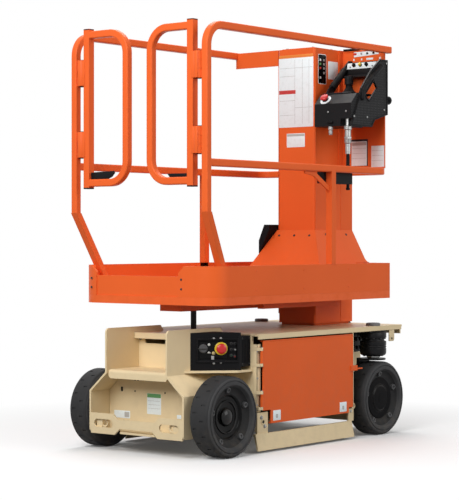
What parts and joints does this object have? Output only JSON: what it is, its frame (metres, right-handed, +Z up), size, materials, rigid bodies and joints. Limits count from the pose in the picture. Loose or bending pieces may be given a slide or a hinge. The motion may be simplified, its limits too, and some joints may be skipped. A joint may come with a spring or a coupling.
{
  "type": "vertical mast lift",
  "caption": "Self-propelled vertical mast lift: a railed platform with swing gates on a telescopic mast, over a narrow wheeled chassis with side doors.",
  "frame": {"origin": "on the floor, at the centre of the overall box", "axes": "+X from the entry step towards the mast, +Y to the left, +Z up"},
  "size_m": [1.394, 0.732, 1.7],
  "materials": {
    "orange_paint": "semi-gloss powder coat",
    "beige_paint": "semi-gloss powder coat",
    "black_plastic": "moulded, fine grain",
    "black_steel": "satin black paint",
    "zinc_plate": "plated",
    "mast_grey": "semi-gloss powder coat",
    "red_plastic": "gloss",
    "yellow_plastic": "gloss",
    "tyre": "matt rubber"
  },
  "bodies": {
    "chassis": {"side_frame_left": "beige_paint", "side_frame_right": "beige_paint", "rear_end_plate": "beige_paint", "rear_bumper": "beige_paint", "entry_step": "beige_paint", "deck_plate": "beige_paint", "belly_pan": "beige_paint", "bay_bulkheads": "beige_paint", "mast_box": "beige_paint", "steering_heads": "black_steel", "platform_rest": "black_steel", "batteries": "black_plastic", "ground_control_box": "black_plastic", "ground_stop_ring": "yellow_plastic", "ground_stop_button": "red_plastic", "pothole_guards": "beige_paint", "rear_axle": "black_steel", "mast_base": "mast_grey"},
    "mast_stage_1": {"mast_stage_1": "mast_grey"},
    "mast_stage_2": {"mast_stage_2": "mast_grey"},
    "platform": {"mast_column": "orange_paint", "mast_front_cover": "orange_paint", "platform_floor": "orange_paint", "platform_beams": "orange_paint", "toe_board_left": "orange_paint", "toe_board_right": "orange_paint", "toe_board_rear": "orange_paint", "rail_left": "orange_paint", "rail_right": "orange_paint", "front_panel": "orange_paint", "mast_skirt": "orange_paint", "control_console": "black_plastic", "console_stop_button": "red_plastic", "console_cable": "zinc_plate", "cable_box": "black_plastic", "cable_guide": "black_plastic"},
    "gate_left": {"gate_left": "orange_paint"},
    "gate_right": {"gate_right": "orange_paint"},
    "door_left": {"door_left": "orange_paint"},
    "door_right": {"door_right": "orange_paint"},
    "knuckle_left": {"knuckle_left": "black_steel", "drive_motor_left": "zinc_plate"},
    "knuckle_right": {"knuckle_right": "black_steel", "drive_motor_right": "zinc_plate"},
    "wheel_rear_left": {"tyre_rear_left": "tyre", "wheel_rear_left": "black_steel"},
    "wheel_rear_right": {"tyre_rear_right": "tyre", "wheel_rear_right": "black_steel"},
    "wheel_front_left": {"tyre_front_left": "tyre", "wheel_front_left": "black_steel"},
    "wheel_front_right": {"tyre_front_right": "tyre", "wheel_front_right": "black_steel"}
  },
  "joints": [
    {"name": "platform_lift", "type": "slide", "parent": "chassis", "child": "platform", "axis": [0, 0, 1], "range_m": [0, 3]},
    {"name": "stage_1_slide", "type": "slide", "parent": "chassis", "child": "mast_stage_1", "axis": [0, 0, 1], "range_m": [0, 1.1]},
    {"name": "stage_2_slide", "type": "slide", "parent": "chassis", "child": "mast_stage_2", "axis": [0, 0, 1], "range_m": [0, 2.2]},
    {"name": "steer_left", "type": "hinge", "parent": "chassis", "child": "knuckle_left", "pos_m": [0.518, 0.307, 0.325], "axis": [0, 0, 1], "range_deg": [-59, 90]},
    {"name": "wheel_front_left_spin", "type": "hinge", "parent": "knuckle_left", "child": "wheel_front_left", "pos_m": [0.518, 0.317, 0.159], "axis": [0, 1, 0], "continuous": true},
    {"name": "wheel_rear_left_spin", "type": "hinge", "parent": "chassis", "child": "wheel_rear_left", "pos_m": [-0.538, 0.317, 0.159], "axis": [0, 1, 0], "continuous": true},
    {"name": "gate_left_swing", "type": "hinge", "parent": "platform", "child": "gate_left", "pos_m": [-0.675, 0.308, 1.377], "axis": [0, 0, 1], "range_deg": [0, 90], "stiffness_Nm_per_rad": 1.5, "springref_deg": -8.59},
    {"name": "door_left_swing", "type": "hinge", "parent": "chassis", "child": "door_left", "pos_m": [-0.327, 0.342, 0.28], "axis": [0, 0, 1], "range_deg": [0, 100]},
    {"name": "steer_right", "type": "hinge", "parent": "chassis", "child": "knuckle_right", "pos_m": [0.518, -0.307, 0.325], "axis": [0, 0, 1], "range_deg": [-90, 59]},
    {"name": "wheel_front_right_spin", "type": "hinge", "parent": "knuckle_right", "child": "wheel_front_right", "pos_m": [0.518, -0.317, 0.159], "axis": [0, 1, 0], "continuous": true},
    {"name": "wheel_rear_right_spin", "type": "hinge", "parent": "chassis", "child": "wheel_rear_right", "pos_m": [-0.538, -0.317, 0.159], "axis": [0, 1, 0], "continuous": true},
    {"name": "gate_right_swing", "type": "hinge", "parent": "platform", "child": "gate_right", "pos_m": [-0.675, -0.308, 1.377], "axis": [0, 0, -1], "range_deg": [0, 90], "stiffness_Nm_per_rad": 1.5, "springref_deg": -8.59},
    {"name": "door_right_swing", "type": "hinge", "parent": "chassis", "child": "door_right", "pos_m": [-0.327, -0.342, 0.28], "axis": [0, 0, -1], "range_deg": [0, 100]}
  ],
  "couplings": [
    {"joint": "stage_1_slide", "follows": "platform_lift", "ratio": 0.36667},
    {"joint": "stage_2_slide", "follows": "platform_lift", "ratio": 0.73333}
  ]
}
